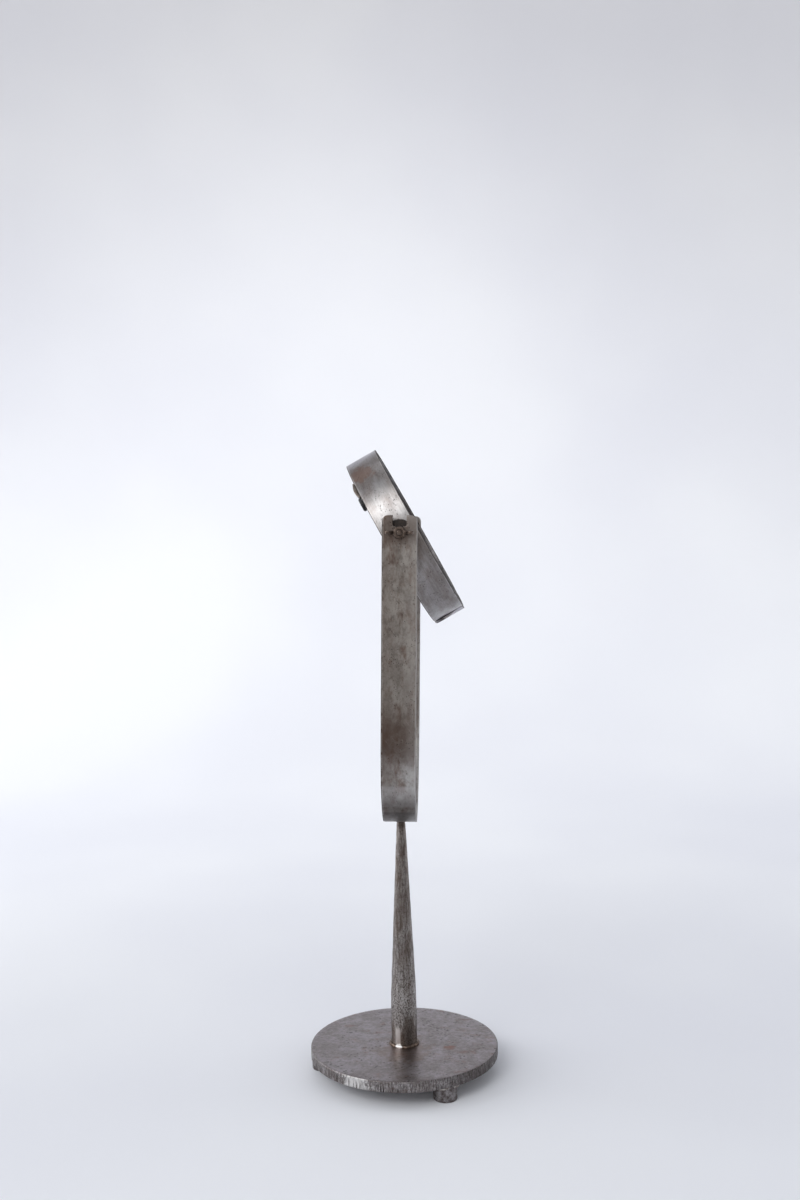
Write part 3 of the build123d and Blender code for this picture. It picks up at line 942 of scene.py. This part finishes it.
def lap_weld():
    half = BAR_W / 2 - 2.6 * MM
    turn = LAP_BACK + 0.7 * MM / HOOP_R_OUT
    r = HOOP_R_OUT - 0.5 * MM
    path = [Vector((-half + 2 * half * k / 120, r * sin(turn), -r * cos(turn))) for k in range(121)]
    bead("lap_bead", "lap_weld", path, LAP_BEAD, WELD, 5, "hoop", closed=False, matrix=RING)


# -------- pivot hardware
def facing(side, frame_matrix, out):
    """Matrix whose z runs outwards along the pivot axis, its origin that far off the middle."""
    turn = Matrix.Rotation(pi / 2, 4, "X")
    if side == "back":
        turn = Matrix.Rotation(pi, 4, "Z") @ turn
    return frame_matrix @ turn @ Matrix.Translation((0, 0, out))


def pivot_bolt(side):
    length = YOKE_R_OUT + HUB_H + BOLT_END - BOLT_SEAT_R
    head = rounded([(0, -HEAD_H), (HEAD_R, -HEAD_H), (HEAD_R, 0), (BOLT_R, 0)],
                   [0, HEAD_H / 2.6, 0.25 * MM, 0])
    profile = head[:-1]
    steps_per_pitch = 8
    rows = int(length / (BOLT_PITCH / steps_per_pitch))
    tip = 0.5 * MM
    for k in range(rows + 1):
        z = length * k / rows
        near_tip = max(0.0, z - (length - tip))
        profile.append((BOLT_R - near_tip * 0.7, z))
    profile += [(BOLT_R * 0.45, length), (0, length)]

    def threaded(angle, r, z):
        if z <= 0.3 * MM or r < BOLT_R * 0.5:
            if z < -HEAD_H * 0.7 and abs(r * sin(angle)) < DRIVER_SLOT_HALF:
                z += DRIVER_SLOT_DEPTH
            return r, z
        phase = z / BOLT_PITCH - angle / (2 * pi)
        ridge = abs((phase - floor(phase)) * 2 - 1)
        return r - THREAD_DEPTH * (1 - ridge), z

    profile[1:1] = [(HEAD_R * k / 8, -HEAD_H) for k in range(1, 6)]
    mesh = lathe(side + "_bolt_mesh", profile, 64, threaded, facing(side, HOOP, BOLT_SEAT_R))
    new_piece(side + "_threaded_bolt", mesh, "hoop", "hardware_steel", side + "_pivot_bolt", HARDWARE)


def bolt_weld(side):
    path = []
    for point in circle(HEAD_R + 0.25 * MM, 110, 0, 0.15 * MM, len(side)):
        height = sqrt(HOOP_R_IN**2 - (point.y + HOOP_HANG) ** 2) - BOLT_SEAT_R
        path.append(Vector((point.x, point.y, height - 0.2 * MM)))
    bead(side + "_bolt_bead", side + "_bolt_weld", path, BOLT_BEAD, WELD, 4, "hoop",
         around=14, matrix=facing(side, HOOP, BOLT_SEAT_R))


def friction_disc(side):
    low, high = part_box(side + "_friction_disc")
    radius, bore, edge = (high.z - low.z) / 2, BOLT_R + 0.05 * MM, 0.35 * MM
    corners = [(bore, 0), (radius, 0), (radius, DISC_T), (bore, DISC_T)]
    profile = finely(rounded(corners, [0.2 * MM, edge, edge, 0.2 * MM], 4), 1.5 * MM)

    def worn(angle, r, z):
        spoke = round_z(angle, r, z)
        return (r - 0.12 * MM * (1 + lump(spoke, 3 * MM, 2)), z) if r > radius * 0.9 else (r, z)

    place = facing(side, PIVOT, HOOP_R_OUT + FACE_GAP)
    mesh = lathe(side + "_disc_mesh", profile, 120, worn, place, ring=True)
    new_piece(side + "_fibre_disc", mesh, "pivot_discs", "disc_fibre", side + "_friction_disc", FIBRE)


def wing(root, span, height, turn):
    """One wing of a nut: a flat blank stood up and turned about the nut's axis."""
    under, over = 0.8 * MM, 4.3 * MM
    outline = [(root, under), (HUB_TOP_R + 1.5 * MM, under), (span, height - WING_DROP),
               (span, height), (span - WING_TOP_W, height), (HUB_TOP_R, over), (root, over)]
    radii = [0, 2.0 * MM, 1.9 * MM, 1.5 * MM, 1.5 * MM, 2.0 * MM, 0]
    blank = flat_blank(rounded(outline, radii, 8), WING_T, WING_EDGE, [], [])
    mesh = bpy.data.meshes.new("wing")
    blank.to_mesh(mesh)
    blank.free()
    mesh.transform(Matrix.Rotation(turn, 4, "Z") @ Matrix.Rotation(pi / 2, 4, "X"))
    return mesh


def fused(parts):
    """The parts as one skin, by a fine remesh, so that they meet in soft cast fillets."""
    joined = bmesh.new()
    for part in parts:
        joined.from_mesh(part)
    cast = bpy.data.meshes.new("cast")
    joined.to_mesh(cast)
    joined.free()
    blank = linked("nut_blank", facing_out(cast))
    remesh = blank.modifiers.new("fuse", "REMESH")
    remesh.mode, remesh.voxel_size = "VOXEL", NUT_VOXEL
    soften = blank.modifiers.new("soften", "SMOOTH")
    soften.factor, soften.iterations = 0.5, 7
    mesh = evaluated(blank)
    bpy.data.objects.remove(blank)
    return mesh


def wing_nut(side):
    low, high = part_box(side + "_wing_nut")
    span, height = (high.x - low.x) / 2 - 0.15 * MM, high.y - low.y - 0.06 * MM
    bore = BOLT_R + 0.06 * MM
    hub = rounded([(bore, 0), (HUB_LOW_R, 0), (HUB_TOP_R, HUB_H), (bore, HUB_H)],
                  [0.1 * MM, 0.4 * MM, 0.5 * MM, 0.25 * MM], 4)
    root = (bore + HUB_TOP_R) / 2
    mesh = fused([lathe("hub", hub, 72, ring=True)]
                 + [wing(root, span, height, turn) for turn in (0, pi)])
    normals = [vertex.normal.copy() for vertex in mesh.vertices]
    for vertex, normal in zip(mesh.vertices, normals):
        vertex.co += normal * 0.035 * MM * lump(vertex.co, 1.6 * MM, 3)
    mesh.transform(facing(side, PIVOT, YOKE_R_OUT))
    new_piece(side + "_cast_wing_nut", mesh, side + "_nut", "hardware_steel", side + "_wing_nut", HARDWARE)


# -------- magnet
def lug():
    """Short bar stub on the rear rim: z of its blank is out from the rim."""
    outline = rounded([(0, -LUG_W / 2), (LUG_L, -LUG_W / 2), (LUG_L, LUG_W / 2), (0, LUG_W / 2)],
                      [1.2 * MM] * 4)
    stations = [k * MM for k in range(1, int(LUG_L / MM))]
    blank = flat_blank(outline, LUG_PROUD, 0.9 * MM, stations, [-1 * MM, 0, 1 * MM])

    def follow(x, y, z):
        turn = pi + LUG_ANGLE + x / HOOP_R_MID
        bumpy = 0.12 * MM * lump((x, y, z), 2.2 * MM, 6) - 0.1 * MM
        r = HOOP_R_MID + y * 0.97
        hump = 0.30 + 0.70 * max(0.0, sin(pi * min(1, max(0, x / LUG_L)))) ** 0.8
        out = BAR_W / 2 + (z + LUG_PROUD / 2 + bumpy) * (hump if z > 0 else 1) - 0.1 * MM
        return Vector((-out, r * sin(turn), -r * cos(turn)))

    mesh = bend("lug_mesh", blank, follow, RING)
    new_piece("rim_lug", mesh, "hoop", "bar_steel", "magnet_lug", LUG_STEEL)


def lug_weld():
    turn = pi + LUG_ANGLE - 0.2 * MM / HOOP_R_MID
    path = []
    for k in range(40):
        r = HOOP_R_MID + (k / 39 - 0.5) * 2.4 * MM
        path.append(Vector((-BAR_W / 2 - 0.1 * MM, r * sin(turn), -r * cos(turn))))
    bead("lug_bead", "lug_weld", path, LUG_BEAD, WELD, 9, "hoop", closed=False, matrix=RING)


def magnet():
    """Pressed ferrite disc that hangs on the rim, its upper edge beside the lug."""
    clear = SEAT_GAP + MAGNET_T * sin(MAGNET_KICK)
    along = LUG_L + clear + MAGNET_R
    corners = [(0, 0), (MAGNET_R, 0), (MAGNET_R, MAGNET_T), (0, MAGNET_T)]
    profile = finely(rounded(corners, [0, 0.55 * MM, 0.55 * MM, 0], 5), 0.8 * MM, closed=False)

    def pressed(angle, r, z):
        spoke = round_z(angle, r, z)
        return r - 0.06 * MM * (1 + lump(spoke, 1.5 * MM, 4)), z

    upper = Vector((-BAR_W / 2 - SEAT_GAP, -MAGNET_R, -HOOP_R_MID))
    place = RING @ Matrix.Rotation(pi + LUG_ANGLE + along / HOOP_R_MID, 4, "X")
    place = place @ Matrix.Translation(upper) @ Matrix.Rotation(MAGNET_KICK, 4, "Z")
    place = place @ Matrix.Translation((0, MAGNET_R, 0)) @ Matrix.Rotation(-pi / 2, 4, "Y")
    mesh = lathe("magnet_mesh", profile, 96, pressed, place)
    new_piece("ferrite_disc", mesh, "magnet", "ferrite", "rim_magnet", FERRITE)


# -------- studio
# Glows of the room: direction, cosine where each starts, cosine where it is full, strength.
ROOM_GLOWS = [
    ((0.0, 0.0, 1.0), -0.30, 0.25, 0.42),  # the ceiling
    ((-1.0, 0.0, 0.05), 0.55, 0.96, 1.70),  # wall lit by the window, on the left
    ((1.0, 0.3, 0.1), 0.50, 0.96, 0.20),  # wall on the right
    ((0.0, -1.0, 0.06), 0.70, 0.98, 0.42),  # the room behind the camera
    ((0.0, 0.8, 0.6), 0.45, 0.92, 0.98),  # daylight that comes over the paper
    ((0.0, 0.0, -1.0), -0.10, 0.30, 0.08),  # dim floor
]


def sweep():
    """White paper: floor, a wide curve and a wall, as one sheet; the floor dulls far in front."""
    front, wall, radius, half, top = -4.0, 1.5, 0.7, 3.2, 3.4
    profile = [(front, 0)]
    profile += [(wall - radius + radius * sin(radians(a)), radius - radius * cos(radians(a)))
                for a in range(0, 91, 5)]
    profile.append((wall, top))
    verts = [(x, y, z) for y, z in profile for x in (-half, half)]
    faces = [(2 * k, 2 * k + 1, 2 * k + 3, 2 * k + 2) for k in range(len(profile) - 1)]
    mesh = bpy.data.meshes.new("paper_mesh")
    mesh.from_pydata(verts, [], faces)
    mesh.polygons.foreach_set("use_smooth", [True] * len(faces))
    f = Finish("white_paper")
    f.base = f.mix(f.ramp(f.cloud(0.5, 2, 0.5), 0.3, 0.7), (226, 228, 234), (233, 235, 239))
    f.paint(f.ramp(f.part("Y"), -0.90, -0.25, 1, 0), (146, 139, 134))
    mesh.materials.append(f.done(0.9, 0.0))
    linked("paper_sweep", mesh)


def room():
    """Soft room light: a window behind and to the left, a dim floor in front of the paper."""
    world = bpy.data.worlds.new("studio_room")
    bpy.context.scene.world = world
    world.use_nodes = True
    sky = Nodes(world.node_tree)
    background = sky.tree.nodes["Background"]
    direction = sky.node("ShaderNodeTexCoord").outputs["Generated"]

    def glow(towards, start, end, power):
        """Light from one side: start and end are cosines from its middle."""
        cosine = sky.maths("DOT_PRODUCT", direction, Vector(towards).normalized(),
                           "ShaderNodeVectorMath")
        return sky.ramp(cosine, start, end, 0, power)

    strength = glow(*ROOM_GLOWS[0])
    for row in ROOM_GLOWS[1:]:
        strength = sky.plus(strength, glow(*row))
    colour = sky.mix(glow((0, 0, 1), -0.15, 0.35, 1), (236, 224, 214), (248, 250, 255))
    sky.feed(background.inputs["Strength"], strength)
    sky.feed(background.inputs["Color"], colour)


def lamp(name, kind, place, target, power, **settings):
    light = bpy.data.lights.new(name, kind)
    light.energy = power
    for key, value in settings.items():
        setattr(light, key, value)
    thing = linked(name, light)
    thing.location = place
    thing.rotation_euler = (Vector(target) - Vector(place)).to_track_quat("-Z", "Y").to_euler()


def lights():
    """Three softboxes and a soft round pool of light on the paper."""
    middle = (0, 0, cad_box[1][2] / 2)
    lamp("window_softbox", "AREA", (-0.95, -1.60, 1.65), middle, 15, shape="DISK", size=1.3)
    lamp("left_wall_softbox", "AREA", (-1.25, 0.45, 0.32), (0.3, 1.45, 0.10), 5,
         shape="DISK", size=0.8)
    lamp("right_wall_softbox", "AREA", (1.35, 0.45, 0.30), (-0.2, 1.45, 0.10), 4,
         shape="DISK", size=0.8)
    lamp("paper_spot", "SPOT", (-0.2, 0.55, 1.75), (-0.1, 1.25, 0.12), 30,
         spot_size=radians(78), spot_blend=1.0, shadow_soft_size=0.3)


def camera():
    """Slightly above the plate, level with the pivot, looking along +Y."""
    yaw, pitch, roll = radians(1.951), radians(3.442), radians(0.883)
    forward = Vector((-sin(yaw) * cos(pitch), cos(yaw) * cos(pitch), -sin(pitch)))
    right = Vector((cos(yaw), sin(yaw), 0))
    up = right.cross(forward)
    right, up = right * cos(roll) - up * sin(roll), up * cos(roll) + right * sin(roll)
    lens = bpy.data.cameras.new("camera")
    lens.sensor_fit, lens.sensor_height, lens.lens = "VERTICAL", 36, 38.7
    lens.clip_start = 0.01
    viewer = linked("camera", lens)
    viewer.matrix_world = axes(right, up, -forward, Vector((0.035, -0.973, 0.4201)))
    bpy.context.scene.camera = viewer
    bpy.context.scene.view_settings.view_transform = "Standard"


# -------- assembly
base_plate()
for foot_name in ("front", "left", "back"):
    foot(foot_name)
    foot_weld(foot_name)
post()
post_welds()
yoke()
hoop_band()
lap_weld()
for side_name in ("front", "back"):
    pivot_bolt(side_name)
    bolt_weld(side_name)
    friction_disc(side_name)
    wing_nut(side_name)
lug()
lug_weld()
magnet()
sweep()
room()
lights()
camera()
